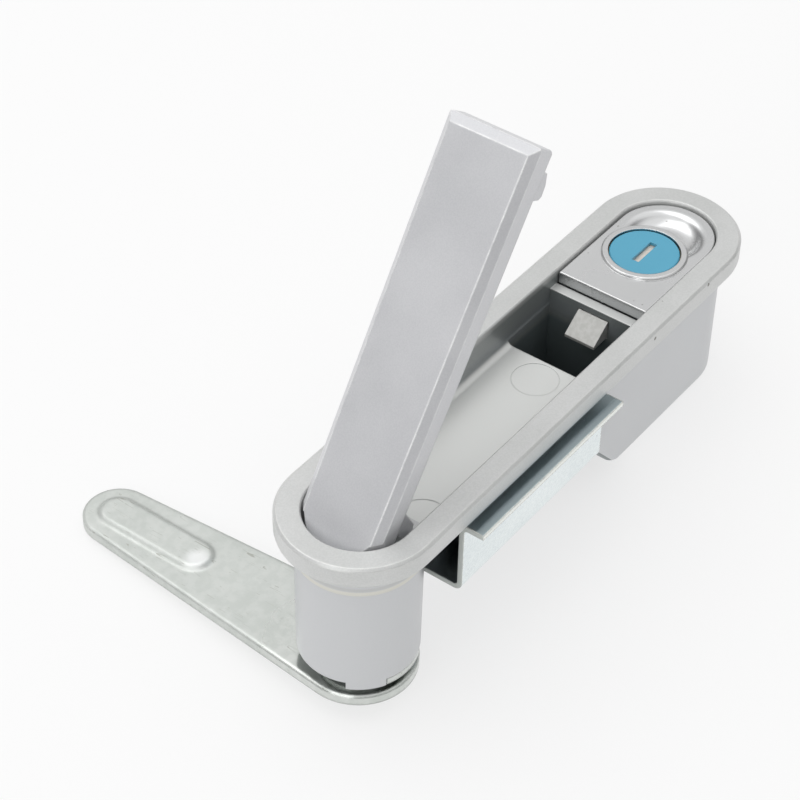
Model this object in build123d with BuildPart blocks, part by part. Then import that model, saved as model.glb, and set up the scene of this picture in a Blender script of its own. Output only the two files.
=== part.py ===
from build123d import *
from math import cos, hypot, radians, sin, sqrt, tan
import os

os.makedirs("parts", exist_ok=True)

# Swing handle lock for a cabinet door, in millimetres.
# The origin is on the axis of the turning boss, where that axis meets the plane on which the flange
# sits on the door. +X runs from the boss to the push button, +Z out of the door.
# "Depths" are measured down from the front face of the flange.

# ---- Driving sizes -----------------------------------------------------------------------------

# Lock body
opening_half = 11.5         # half the width of the tray opening
rim_width = 5.5             # flange face beside the opening
flange_thickness = 4.8
flange_edge_break = 0.6
flange_foot = (0.15, 0.6)    # slope at the foot of the flange's side: inwards, upwards
opening_edge_break = 0.35
side_wall = 1.7
tray_depth = 9.0
tray_fillet = 1.8
floor_thickness = 2.0
pocket_length = 16.1        # from the end of the tray floor to the end wall
housing_depth = 37.9
housing_edge_radius = 2.7
housing_slope_top = 25.0    # depth at which the front wall starts to slope back
housing_slope_run = 11.4
housing_corner_radius = 3.0
end_wall = 2.5              # wall between the pocket and the button
ledge_depth = 3.95          # top of that wall, under the tip of the shut handle
web_depth = 18.0            # shelf inside the housing, which guides the key cylinder
web_thickness = 2.0
cover_thickness = 2.0
cover_ledge = 1.0
cover_clearance = 0.2
lower_cavity_half = 9.4

# Boss and rotor
boss_depth = 36.9
boss_draft = 0.3            # how much the boss radius shrinks over its height
boss_web = 2.5              # bottom of the boss, under the rotor
tab_height = 1.9
tab_width_deg = 38.0
tab_centre_deg = -135.0
tab_wall = 2.0
rotor_clearance = 0.08
neck_radius = 8.4
square_half = 5.0
square_clearance = 0.06
friction_washer_thickness = 0.7
oring_depth = 27.0
oring_section = 0.62
swing_angle = 90.0
stop_clearance_deg = 1.0

# Handle
lift_angle = 55.3
pivot_depth = 7.7
pin_radius = 2.0
pin_clearance = 0.05
ear_radius = 3.7
handle_reach = 85.2         # pivot to tip
handle_proud = 2.8          # how far the shut handle stands above the flange
bar_thickness = 6.2
bar_roof = 2.4              # what the hollows leave of that
bar_half_root = 9.7
bar_half_tip = 10.55
bevel_inset = 1.5
tip_bevel_inset = 2.0
bevel_drop = 1.7
tip_corner_radius = 0.8
hollow_count = 3
hollow_start = 16.8
hollow_rib = 2.0
hollow_margin = 9.5         # from the last hollow to the hook
root_clearance = 0.5
tongue_half = 7.0
tongue_front = 8.3
tongue_back = 4.4
ear_half = 10.4
pin_half_length = 9.9
fork_gap = 0.15
hook_half = 6.5
hook_gap = 2.8              # from the nose of the hook to the end wall
hook_length = 6.5
hook_depth = 14.45

# Lift plunger
plunger_offset = 3.4        # also the rise of the heel per radian of handle lift
heel_shut = 7.3             # pivot to plunger top with the handle shut
plunger_radius = 2.2
plunger_length = 10.0
plunger_clearance = 0.06
plunger_gap = 0.02
lift_spring_seat = 31.0

# Stop washer, cam and their fasteners
stop_washer_thickness = 1.7
spacer_thickness = 2.4
cam_thickness = 2.5
cam_boss_radius = 12.7
cam_tip_radius = 7.8
cam_length = 66.3
cam_rib_start = 44.5
cam_rib_half = 4.6
cam_rib_rise = 0.9
cam_washer_radius = 8.0
cam_washer_thickness = 1.2
cam_screw_radius = 3.0
cam_screw_head_half = 5.0
cam_screw_head_height = 3.6
cam_screw_length = 11.0
thread_clearance = 0.05

# Push button and key cylinder
button_gap = 0.3
button_flat = 25.4          # from its straight edge to the centre of the arc at its end
button_tip_gap = 0.95       # between the tip of the shut handle and the button
button_sunk = 0.9
button_plate = 3.6
button_edge_break = 0.18
button_travel = 2.6
scoop_radius = 8.5
scoop_depth = 2.2
scoop_slope_deg = 50.0
scoop_lip_radius = 2.0
scoop_floor_radius = 4.1
cylinder_offset = 8.4       # key cylinder axis, towards the boss from the end arc
collar_wall = 1.5
collar_sunk = 0.25
cap_radius = 7.85
cap_thickness = 0.7
cap_sunk = 0.5
cap_clearance = 0.25
plug_radius = 6.0
plug_head_thickness = 2.0
shell_wall = 1.5
shell_head = 1.5
shell_end_depth = 25.2
turning_clearance = 0.08
keyway_length = 7.7
keyway_width = 1.75
shutter_thickness = 0.4
shutter_gap = 0.12
wafer_count = 5
wafer_pitch = 3.2
wafer_thickness = 1.0
wafer_width = 4.4
wafer_first = 9.0           # depth of the first wafer
nut_thickness = 1.8
clip_thickness = 1.0
clip_gap = 0.3
clip_opening = 9.0
tail_thickness = 2.2
tail_reach = 8.2
tail_width = 5.0
tail_hub_radius = 5.2
tenon_half = 2.5
tail_screw_radius = 1.25

# Latch
latch_nose_half = 3.8
latch_reach = 5.1           # nose beyond the end wall
latch_top_depth = 5.7
latch_tip_depth = 9.55
latch_under_depth = 10.25
latch_shank_depth = 7.2
latch_bar_depth = 14.0
latch_bar_length = 4.3
latch_arm_length = 7.3
latch_arm_half = 10.9
latch_arm_width = 2.9
wedge_size = 4.2
wedge_gap = 0.05
guide_gap = 0.15

latch_spring_depth = 11.3

# Springs: wire radius, coil radius
latch_spring = (0.22, 0.95)
return_spring = (0.3, 1.95)
lift_spring = (0.3, 1.7)
spring_turns = 4
spring_gap = 0.05

# Clamp bracket
clamp_start = 14.3
clamp_end_gap = 0.3
clamp_sheet = 1.2
clamp_side_gap = 0.9
clamp_lip_gap = 2.1         # flange to lip, the thickest sheet metal it grips as drawn
clamp_depth = 25.5
clamp_lip_reach = 4.6
clamp_bend = 1.5
post_first = 26.0
post_end_gap = 11.2         # from the second post to the housing
post_radius = 3.6
post_depth = 22.3
clamp_screw_radius = 2.0
clamp_screw_length = 11.0
clamp_screw_head_radius = 3.9
clamp_screw_head_height = 2.6
clamp_washer_thickness = 0.9

# Cover screws
cover_screw_radius = 1.45
cover_screw_head_radius = 2.8
cover_screw_length = 5.0

# ---- Places worked out from them ---------------------------------------------------------------

face_z = flange_thickness


def at(depth):
    """Height of a point that lies this far below the front face."""
    return face_z - depth


button_x = handle_reach + button_tip_gap - 0.05
cavity_x = button_x - button_gap
end_wall_x = cavity_x - end_wall
pocket_start = end_wall_x - pocket_length
housing_front = pocket_start - floor_thickness
post_places = [(post_first, 0), (housing_front - post_end_gap, 0)]
axis_spacing = button_x + button_flat   # boss axis to the centre of the arc at the button end

flange_half = opening_half + rim_width
body_half = opening_half + side_wall
body_end = axis_spacing + body_half
bore_radius = opening_half - 0.2
pivot_z = at(pivot_depth)

button_half = opening_half - button_gap
cylinder_x = axis_spacing - cylinder_offset
latch_y = latch_arm_half - latch_arm_width / 2
spring_stop_x = cylinder_x
spring_x = axis_spacing + 5.3
spring_y = 5.0

rotor_radius = bore_radius - rotor_clearance
shoulder_depth = boss_depth - boss_web
rotor_bottom = shoulder_depth - friction_washer_thickness - 0.1
rotor_top = 14.5
slot_floor = pivot_depth + heel_shut + 2.2
stop_washer_top = boss_depth + 0.12
spacer_top = stop_washer_top + stop_washer_thickness
cam_top = spacer_top + spacer_thickness
cam_bottom = cam_top + cam_thickness
square_end = cam_bottom - 0.2
screw_tip = cam_bottom + cam_washer_thickness - cam_screw_length

shell_radius = plug_radius + turning_clearance + shell_wall
shell_top = cap_sunk + cap_thickness + plug_head_thickness + 0.1
hub_depth = 10.0
collar_inner = cap_radius + cap_clearance
collar_outer = collar_inner + collar_wall
web_bottom = web_depth + web_thickness
tail_top = shell_end_depth + 0.3
seat_depth = housing_depth - cover_thickness

lift = radians(lift_angle)
handle_plane = Plane(
    origin=(0, 0, pivot_z), x_dir=(cos(lift), 0, sin(lift)), z_dir=(-sin(lift), 0, cos(lift))
)
handle_side = Plane(origin=(0, 0, pivot_z), x_dir=(cos(lift), 0, sin(lift)), z_dir=(0, -1, 0))
handle_along = Axis((0, 0, 0), handle_plane.x_dir)
handle_up = Axis((0, 0, 0), handle_plane.z_dir)
bar_top = pivot_depth + handle_proud
bar_under = bar_top - bar_thickness
hook_reach = end_wall_x - hook_gap
hook_back = hook_reach - hook_length


def arm_point(angle_deg, radius):
    """Point at this angle and radius about the boss axis."""
    return (radius * cos(radians(angle_deg)), radius * sin(radians(angle_deg)))


def heel_point(angle):
    """Point of the heel under which a flat plunger rises evenly with the handle's angle."""
    reach = heel_shut - plunger_offset * angle
    return (
        -reach * sin(angle) + plunger_offset * cos(angle),
        -reach * cos(angle) - plunger_offset * sin(angle),
    )


def hexagon_screw(head_plane, half_flats, head_height, radius, length):
    """Hexagon head above the plane's face, shank below it, as one solid."""
    with BuildPart() as screw:
        with BuildSketch(head_plane):
            RegularPolygon(half_flats / cos(radians(30)), 6)
        extrude(amount=head_height)
        outer_face = screw.faces().sort_by(Axis((0, 0, 0), head_plane.z_dir))[-1]
        chamfer(outer_face.edges(), 0.35)
        with BuildSketch(head_plane):
            Circle(radius)
        extrude(amount=-length)
    return screw


def write(part, label):
    """Name the finished piece and write it as the node of that name."""
    part.label = label
    export_step(part, f"parts/{label}.step")


# ---- Lock body ---------------------------------------------------------------------------------

slope_rise = housing_depth - housing_slope_top
with BuildPart() as housing_form:
    with BuildSketch(Plane.XZ) as housing_side:
        with BuildLine():
            Polyline(
                (housing_front, 0),
                (housing_front, at(housing_slope_top)),
                (housing_front + housing_slope_run, at(housing_depth)),
                (body_end, at(housing_depth)),
                (body_end, 0),
                close=True,
            )
        make_face()
        slope_ends = housing_side.vertices().sort_by(Axis.X)[0:3].sort_by(Axis.Y)[0:2]
        fillet(slope_ends, housing_corner_radius)
    extrude(amount=body_half, both=True)
    with BuildSketch(Plane.XY):
        with Locations((axis_spacing / 2, 0)):
            SlotCenterToCenter(axis_spacing, 2 * body_half)
    extrude(amount=-housing_depth, mode=Mode.INTERSECT)
    side_edges = housing_form.faces().filter_by(Axis.Y).edges()
    side_edges = side_edges.filter_by(lambda e: e.center().Z < -1 and e.center().X < axis_spacing - 1)
    end_arc = housing_form.edges().group_by(Axis.Z)[0].filter_by(GeomType.CIRCLE)
    fillet(side_edges + end_arc, housing_edge_radius)

with BuildPart() as tray_form:
    with BuildSketch(Plane.XY.offset(face_z)):
        Circle(opening_half)
        with Locations((end_wall_x / 2, 0)):
            Rectangle(end_wall_x, 2 * opening_half)
    extrude(amount=-tray_depth)
    floor_edges = tray_form.edges().group_by(Axis.Z)[0]
    fillet(floor_edges.filter_by(lambda e: e.center().X < end_wall_x - 1), tray_fillet)

with BuildPart() as lock_body:
    # flange plate, its outer edge broken
    with BuildSketch(Plane.XY):
        with Locations((axis_spacing / 2, 0)):
            SlotCenterToCenter(axis_spacing, 2 * flange_half)
    extrude(amount=flange_thickness)
    chamfer(lock_body.edges().group_by(Axis.Z)[-1], flange_edge_break)
    flange_seat = lock_body.faces().sort_by(Axis.Z)[0]
    chamfer(flange_seat.edges(), length=flange_foot[0], length2=flange_foot[1], reference=flange_seat)
    # tray shell behind the flange
    with BuildSketch(Plane.XY):
        with Locations((axis_spacing / 2, 0)):
            SlotCenterToCenter(axis_spacing, 2 * body_half)
    extrude(amount=at(tray_depth + floor_thickness))
    add(housing_form.part)
    # boss, with the draft that lets it leave the die
    with BuildSketch(Plane.XZ):
        with BuildLine():
            Polyline(
                (0, 0),
                (body_half - 0.1, 0),
                (body_half - 0.1 - boss_draft, at(boss_depth + tab_height)),
                (0, at(boss_depth + tab_height)),
                close=True,
            )
        make_face()
    revolve(axis=Axis.Z)
    # stiffening ribs under the tray and the two posts for the clamp screws
    with BuildSketch(Plane.XZ):
        with BuildLine():
            Polyline(
                (opening_half, at(tray_depth + 1)),
                (opening_half, at(tray_depth + floor_thickness + 5)),
                (pocket_start, at(tray_depth + floor_thickness + 5)),
                (pocket_start, at(tray_depth + 1)),
                close=True,
            )
        make_face()
    extrude(amount=0.9, both=True)
    with BuildSketch(Plane.XY.offset(at(tray_depth + 1))):
        with Locations(*post_places):
            Circle(post_radius)
            Rectangle(1.6, 2 * opening_half)
    extrude(amount=-(floor_thickness + 2))
    with BuildSketch(Plane.XY.offset(at(tray_depth + 1))):
        with Locations(*post_places):
            Circle(post_radius)
    extrude(amount=-(post_depth - tray_depth - 1))

    # opening through the face down to the ledge, then the tray as far as the end wall
    with BuildSketch(Plane.XY.offset(face_z)):
        with Locations((axis_spacing / 2, 0)):
            SlotCenterToCenter(axis_spacing, 2 * opening_half)
    extrude(amount=-ledge_depth, mode=Mode.SUBTRACT)
    chamfer(lock_body.faces().sort_by(Axis.Z)[-1].inner_wires().edges(), opening_edge_break)
    add(tray_form.part, mode=Mode.SUBTRACT)
    # ejector marks on the tray floor
    with BuildSketch(Plane.XY.offset(at(tray_depth))):
        with Locations((pocket_start - 5.9, 0), (13.1, 6.0), (13.1, -6.0)):
            Circle(5.2)
    extrude(amount=-0.12, mode=Mode.SUBTRACT)
    # latch pocket, its front wall sloping back with the housing's
    slope_thickness = floor_thickness * hypot(housing_slope_run, slope_rise) / housing_slope_run
    slope_start = (pocket_start - housing_front) * slope_rise / housing_slope_run
    slope_back = (cover_thickness - slope_thickness) * housing_slope_run / slope_rise
    with BuildSketch(Plane.XZ):
        with BuildLine():
            Polyline(
                (pocket_start, at(tray_depth - 1)),
                (pocket_start, at(housing_slope_top - slope_thickness + slope_start)),
                (housing_front + housing_slope_run - slope_back, at(seat_depth)),
                (end_wall_x, at(seat_depth)),
                (end_wall_x, at(tray_depth - 1)),
                close=True,
            )
        make_face()
    extrude(amount=bore_radius, both=True, mode=Mode.SUBTRACT)
    # room for the button, down to the shelf
    with BuildSketch(Plane.XY.offset(face_z)):
        with Locations((axis_spacing, 0)):
            Circle(opening_half)
        with Locations(((cavity_x + axis_spacing) / 2, 0)):
            Rectangle(axis_spacing - cavity_x, 2 * opening_half)
    extrude(amount=-web_depth, mode=Mode.SUBTRACT)
    # latch window in the end wall
    window_height = latch_under_depth - latch_top_depth + 2 * guide_gap
    with BuildSketch(Plane.YZ.offset(end_wall_x - 0.5)):
        with Locations((0, at((latch_under_depth + latch_top_depth) / 2))):
            Rectangle(2 * (latch_nose_half + guide_gap), window_height)
    extrude(amount=end_wall + 1, mode=Mode.SUBTRACT)
    # lower room for the tail of the key cylinder, and the seat of the cover
    with BuildSketch(Plane.XY.offset(at(housing_depth))):
        with Locations((axis_spacing, 0)):
            Circle(lower_cavity_half)
        with Locations(((cavity_x + 1.7 + axis_spacing) / 2, 0)):
            Rectangle(axis_spacing - cavity_x - 1.7, 2 * lower_cavity_half)
    extrude(amount=housing_depth - web_bottom, mode=Mode.SUBTRACT)
    with BuildSketch(Plane.XY.offset(at(housing_depth))) as cover_seat:
        with Locations((axis_spacing, 0)):
            Circle(lower_cavity_half + cover_ledge)
        with Locations(((cavity_x + 0.7 + axis_spacing) / 2, 0)):
            Rectangle(axis_spacing - cavity_x - 0.7, 2 * (lower_cavity_half + cover_ledge))
    extrude(amount=cover_thickness, mode=Mode.SUBTRACT)
    with BuildSketch(Plane.XY.offset(at(web_depth))):
        with Locations((cylinder_x, 0)):
            Circle(shell_radius + turning_clearance + 0.1)
    extrude(amount=-web_thickness, mode=Mode.SUBTRACT)

    # rails for the latch, stops for its springs, spigots for the return springs
    rail_width = opening_half - latch_y + 1.4
    for side in (-1, 1):
        with BuildSketch(Plane.XY.offset(at(web_depth))):
            with Locations((cavity_x + 5.1, side * (opening_half - rail_width / 2))):
                Rectangle(10.2, rail_width)
        extrude(amount=web_depth - latch_bar_depth - guide_gap)
        with BuildSketch(Plane.XY.offset(at(web_depth))):
            with Locations((spring_stop_x + 0.8, side * (opening_half - 1.3))):
                Rectangle(1.6, 2.6)
        extrude(amount=web_depth - 9.5)
        with BuildSketch(Plane.XY.offset(at(web_depth))):
            with Locations((spring_x, side * spring_y)):
                Circle(1.3)
        extrude(amount=2.5)
    # block that stops the tail of the locked key cylinder, and the posts of the cover screws
    with BuildSketch(Plane.XY.offset(at(tail_top + tail_thickness + clip_gap))):
        with Locations((cylinder_x, lower_cavity_half - 1.2)):
            Rectangle(7.2, 4.0)
    extrude(amount=-4.0)
    cover_screw_x = (cavity_x + 5.2, axis_spacing + 5.4)
    with BuildSketch(Plane.XY.offset(at(seat_depth))):
        with Locations(*[(x, 0) for x in cover_screw_x]):
            Circle(2.9)
            Rectangle(2.4, 2 * lower_cavity_half)
    extrude(amount=cover_screw_length - 1.0)
    with BuildSketch(Plane.XY.offset(at(seat_depth))):
        with Locations(*[(x, 0) for x in cover_screw_x]):
            Circle(cover_screw_radius + thread_clearance)
    extrude(amount=cover_screw_length - 1.8, mode=Mode.SUBTRACT)

    # bore of the boss, its lower neck bore, and the stop tabs on its rim
    with BuildSketch(Plane.XY.offset(at(tray_depth - 1))):
        Circle(bore_radius)
    extrude(amount=-(shoulder_depth - tray_depth + 1), mode=Mode.SUBTRACT)
    with BuildSketch(Plane.XY.offset(at(shoulder_depth))):
        Circle(neck_radius + rotor_clearance)
    extrude(amount=-boss_web, mode=Mode.SUBTRACT)
    with BuildSketch(Plane.XY.offset(at(boss_depth + tab_height))):
        Circle(body_half + 1)
        for centre in (tab_centre_deg, tab_centre_deg + 180):
            with BuildLine():
                Polyline(
                    (0, 0),
                    arm_point(centre - tab_width_deg / 2, 2 * body_half),
                    arm_point(centre, 2.5 * body_half),
                    arm_point(centre + tab_width_deg / 2, 2 * body_half),
                    close=True,
                )
            make_face(mode=Mode.SUBTRACT)
        Circle(body_half - tab_wall)
    extrude(amount=tab_height, mode=Mode.SUBTRACT)
    # thread cores of the clamp screws
    with BuildSketch(Plane.XY.offset(at(post_depth))):
        with Locations(*post_places):
            Circle(clamp_screw_radius + thread_clearance)
    extrude(amount=post_depth - tray_depth - floor_thickness, mode=Mode.SUBTRACT)
write(lock_body.part, "lock_body")

# ---- Handle, drawn raised ----------------------------------------------------------------------

# Everything of the handle's root below the face stays inside this form, at any angle of lift.
root_limit = bore_radius - root_clearance
with BuildPart() as root_waste:
    with BuildSketch(Plane.XY.offset(face_z + 0.1)):
        Rectangle(60, 60)
    extrude(amount=-30)
    with BuildSketch(Plane.XY.offset(face_z + 0.1)):
        Circle(root_limit)
    extrude(amount=-(pivot_depth + 0.1), mode=Mode.SUBTRACT)
    with Locations((0, 0, pivot_z)):
        Sphere(root_limit, mode=Mode.SUBTRACT)



def bar_half(s):
    """Half the width of the bar at this distance from the pivot."""
    return bar_half_tip + (bar_half_root - bar_half_tip) * (handle_reach - s) / handle_reach


def bar_corners(inset, tip_inset):
    """Corners of the bar seen from above, drawn in from its sides and its tip."""
    root_s = -14.0
    tip_s = handle_reach - tip_inset
    root_half = bar_half(root_s) - inset
    tip_half = bar_half(tip_s) - inset
    return (root_s, -root_half), (tip_s, -tip_half), (tip_s, tip_half), (root_s, root_half)


with BuildPart() as handle_lever:
    # flat bar that widens to the tip, bevelled on both sides and the tip
    with BuildSketch(handle_plane.offset(bar_under)):
        with BuildLine():
            Polyline(*bar_corners(0, 0), close=True)
        make_face()
    extrude(amount=bar_thickness - bevel_drop)
    with BuildSketch(handle_plane.offset(bar_top - bevel_drop)):
        with BuildLine():
            Polyline(*bar_corners(0, 0), close=True)
        make_face()
    with BuildSketch(handle_plane.offset(bar_top)):
        with BuildLine():
            Polyline(*bar_corners(bevel_inset, tip_bevel_inset), close=True)
        make_face()
    loft(ruled=True)
    with BuildSketch(handle_plane.offset(bar_under)) as rounded_outline:
        with BuildLine():
            Polyline(*bar_corners(0, 0), close=True)
        make_face()
        fillet(rounded_outline.vertices().sort_by(Axis.X)[-2:], tip_corner_radius)
    extrude(amount=bar_thickness, mode=Mode.INTERSECT)
    # shallow hollows in the underside, with ribs left between them
    hollow_pitch = (hook_back - hollow_margin - hollow_start + hollow_rib) / hollow_count
    hollow_length = hollow_pitch - hollow_rib
    with BuildSketch(handle_plane.offset(bar_under)):
        for i in range(hollow_count):
            with Locations((hollow_start + hollow_length / 2 + hollow_pitch * i, 0)):
                RectangleRounded(hollow_length, 2 * bar_half_root - 5.0, 1.2)
    extrude(amount=bar_thickness - bar_roof, mode=Mode.SUBTRACT)
    add(root_waste.part, mode=Mode.SUBTRACT)
    # tongue that turns on the pin; its heel is the curve on which the plunger bears
    heel = [heel_point(radians(a)) for a in (-4, 8, 20, 32, 44, lift_angle + 3)]
    with BuildSketch(handle_side):
        with BuildLine():
            Spline(*heel)
            Polyline(
                heel[-1],
                (-tongue_back, 0.4),
                (-tongue_back, bar_under + 0.5),
                (tongue_front, bar_under + 0.5),
                (tongue_front, -1.1),
                (tongue_front - 2.6, -heel_shut + 0.8),
                heel[0],
            )
        make_face()
    extrude(amount=tongue_half, both=True)
    with BuildSketch(handle_side):
        Circle(pin_radius + pin_clearance)
    extrude(amount=tongue_half + 1, both=True, mode=Mode.SUBTRACT)
    # hook that the latch catches
    neck_reach = end_wall_x - latch_reach - 0.35
    hook_top = -(latch_under_depth + 0.35 - pivot_depth)
    hook_low = -(hook_depth - pivot_depth)
    with BuildSketch(handle_side):
        with BuildLine():
            Polyline(
                (hook_back, bar_under + 0.5),
                (hook_back, hook_low + 3.25),
                (hook_back + 0.4, hook_low + 0.75),
                (hook_back + 1.2, hook_low),
                (hook_back + 3.5, hook_low + 0.15),
                (hook_reach - 0.7, hook_low + 1.35),
                (hook_reach, hook_top),
                (neck_reach, hook_top),
                (neck_reach, bar_under + 0.5),
                close=True,
            )
        make_face()
    extrude(amount=hook_half, both=True)
write(handle_lever.part, "handle_lever")

# ---- Rotor and what turns with it --------------------------------------------------------------

groove_inner = rotor_radius - 2 * oring_section - 0.02
# ears that carry the pivot pin: round over the pin, wider at the foot, inside the rotor's radius
with BuildPart() as rotor_ears:
    with BuildSketch(Plane.XZ):
        with Locations((0, pivot_z)):
            Circle(ear_radius)
        with BuildLine():
            Polyline(
                (-ear_radius * sin(radians(75)), pivot_z + ear_radius * cos(radians(75))),
                (ear_radius, pivot_z),
                (7.0, at(rotor_top + 0.5)),
                (-6.4, at(rotor_top + 0.5)),
                close=True,
            )
        make_face()
    extrude(amount=ear_half, both=True)
    with BuildSketch(Plane.XY.offset(face_z)):
        Circle(rotor_radius)
    extrude(amount=-(rotor_top + 0.5), mode=Mode.INTERSECT)

with BuildPart() as rotor:
    with BuildSketch(Plane.XZ):
        with BuildLine():
            Polyline(
                (0, at(rotor_top)),
                (rotor_radius, at(rotor_top)),
                (rotor_radius, at(oring_depth - oring_section - 0.1)),
                (groove_inner, at(oring_depth - oring_section - 0.1)),
                (groove_inner, at(oring_depth + oring_section + 0.1)),
                (rotor_radius, at(oring_depth + oring_section + 0.1)),
                (rotor_radius, at(rotor_bottom)),
                (neck_radius, at(rotor_bottom)),
                (neck_radius, at(boss_depth + 0.05)),
                (0, at(boss_depth + 0.05)),
                close=True,
            )
        make_face()
    revolve(axis=Axis.Z)
    with BuildSketch(Plane.XY.offset(at(boss_depth))):
        RectangleRounded(2 * square_half, 2 * square_half, 0.8)
    extrude(amount=-(square_end - boss_depth))
    add(rotor_ears.part)
    with BuildSketch(Plane.XZ):
        with Locations((0, (face_z + at(slot_floor)) / 2)):
            Rectangle(2 * rotor_radius + 2, slot_floor)
    extrude(amount=tongue_half + fork_gap, both=True, mode=Mode.SUBTRACT)
    with BuildSketch(Plane.XZ):
        with Locations((0, pivot_z)):
            Circle(pin_radius + pin_clearance)
    extrude(amount=rotor_radius, both=True, mode=Mode.SUBTRACT)
    # bore of the lift plunger and the thread core of the cam screw
    with BuildSketch(Plane.XY.offset(at(slot_floor))):
        with Locations((plunger_offset, 0)):
            Circle(plunger_radius + plunger_clearance)
    extrude(amount=-(lift_spring_seat - slot_floor), mode=Mode.SUBTRACT)
    with BuildSketch(Plane.XY.offset(at(square_end))):
        Circle(cam_screw_radius + thread_clearance)
    extrude(amount=square_end - screw_tip + 0.6, mode=Mode.SUBTRACT)
write(rotor.part, "rotor")

with BuildPart() as pivot_pin:
    with BuildSketch(Plane.XZ):
        with Locations((0, pivot_z)):
            Circle(pin_radius)
    extrude(amount=pin_half_length, both=True)
    chamfer(pivot_pin.edges().filter_by(GeomType.CIRCLE), 0.3)
write(pivot_pin.part, "pivot_pin")

heel_open = heel_shut - plunger_offset * lift
plunger_top = pivot_depth + heel_open + plunger_gap
with BuildPart() as lift_plunger:
    with BuildSketch(Plane.XY.offset(at(plunger_top))):
        with Locations((plunger_offset, 0)):
            Circle(plunger_radius)
    extrude(amount=-plunger_length)
    chamfer(lift_plunger.edges().group_by(Axis.Z)[0], 0.4)
write(lift_plunger.part, "lift_plunger")


def coil(base, direction, length, spring):
    """Open coil spring standing on a plane at base and running along direction."""
    wire, mean = spring
    free = length - 2 * wire - 2 * spring_gap
    with BuildPart() as spring_part:
        start = Vector(*base) + Vector(*direction) * (wire + spring_gap)
        with BuildLine() as path:
            Helix(free / spring_turns, free, mean, center=start, direction=direction)
        with BuildSketch(Plane(origin=path.line @ 0, z_dir=path.line % 0)):
            RegularPolygon(wire, 6)
        sweep(path=path.line, is_frenet=True)
    return spring_part.part


lift_coil = coil(
    (plunger_offset, 0, at(lift_spring_seat)),
    (0, 0, 1),
    lift_spring_seat - plunger_top - plunger_length,
    lift_spring,
)
write(lift_coil, "lift_spring")

with BuildPart() as rotor_oring:
    with BuildSketch(Plane.XZ):
        with Locations((rotor_radius - oring_section, at(oring_depth))):
            Circle(oring_section)
    revolve(axis=Axis.Z)
write(rotor_oring.part, "rotor_oring")

with BuildPart() as friction_washer:
    with BuildSketch(Plane.XY.offset(at(shoulder_depth - 0.05))):
        Circle(rotor_radius - 0.1)
        Circle(neck_radius + 0.15, mode=Mode.SUBTRACT)
    extrude(amount=friction_washer_thickness)
write(friction_washer.part, "friction_washer")

ear_span = 180 - tab_width_deg - swing_angle - 2 * stop_clearance_deg
ear_start = tab_centre_deg + tab_width_deg / 2 + stop_clearance_deg
square_hole = 2 * (square_half + square_clearance)
with BuildPart() as stop_washer:
    with BuildSketch(Plane.XY.offset(at(stop_washer_top))):
        for start in (ear_start, ear_start + 180):
            with BuildLine():
                Polyline(
                    (0, 0),
                    arm_point(start, 2 * body_half),
                    arm_point(start + ear_span / 2, 2.5 * body_half),
                    arm_point(start + ear_span, 2 * body_half),
                    close=True,
                )
            make_face()
        Circle(body_half - 0.1 - boss_draft - 0.1, mode=Mode.INTERSECT)
        Circle(neck_radius)
        RectangleRounded(square_hole, square_hole, 0.7, mode=Mode.SUBTRACT)
    extrude(amount=-stop_washer_thickness)
write(stop_washer.part, "stop_washer")

with BuildPart() as cam_spacer:
    with BuildSketch(Plane.XY.offset(at(spacer_top))):
        Circle(neck_radius)
        RectangleRounded(square_hole, square_hole, 0.7, mode=Mode.SUBTRACT)
    extrude(amount=-spacer_thickness)
write(cam_spacer.part, "cam_spacer")

with BuildPart() as cam_arm:
    with BuildSketch(Plane.XY.offset(at(cam_bottom))):
        Circle(cam_boss_radius)
        with Locations((0, cam_length)):
            Circle(cam_tip_radius)
        make_hull()
        RectangleRounded(square_hole, square_hole, 0.7, mode=Mode.SUBTRACT)
    extrude(amount=cam_thickness)
    outline = cam_arm.edges().group_by(Axis.Z)
    chamfer(outline[-1].filter_by(lambda e: e.length > 12), 0.4)
    # pressed rib: raised above, hollow below
    rib_length = cam_length - cam_rib_start
    with BuildSketch(Plane.XY.offset(at(cam_top))):
        with Locations((0, (cam_length + cam_rib_start) / 2)):
            SlotCenterToCenter(rib_length, 2 * cam_rib_half, rotation=90)
    extrude(amount=cam_rib_rise, taper=50)
    with BuildSketch(Plane.XY.offset(at(cam_bottom))):
        with Locations((0, (cam_length + cam_rib_start) / 2)):
            SlotCenterToCenter(rib_length, 2 * cam_rib_half - 2.4, rotation=90)
    extrude(amount=cam_rib_rise, taper=50, mode=Mode.SUBTRACT)
write(cam_arm.part, "cam_arm")

with BuildPart() as cam_washer:
    with BuildSketch(Plane.XY.offset(at(cam_bottom))):
        Circle(cam_washer_radius)
        Circle(cam_screw_radius + 0.2, mode=Mode.SUBTRACT)
    extrude(amount=-cam_washer_thickness)
write(cam_washer.part, "cam_washer")

head_z = at(cam_bottom + cam_washer_thickness)
down = Plane(origin=(0, 0, head_z), x_dir=(1, 0, 0), z_dir=(0, 0, -1))
cam_screw = hexagon_screw(
    down, cam_screw_head_half, cam_screw_head_height, cam_screw_radius, cam_screw_length
)
write(cam_screw.part, "cam_screw")

# ---- Push button -------------------------------------------------------------------------------

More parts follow.
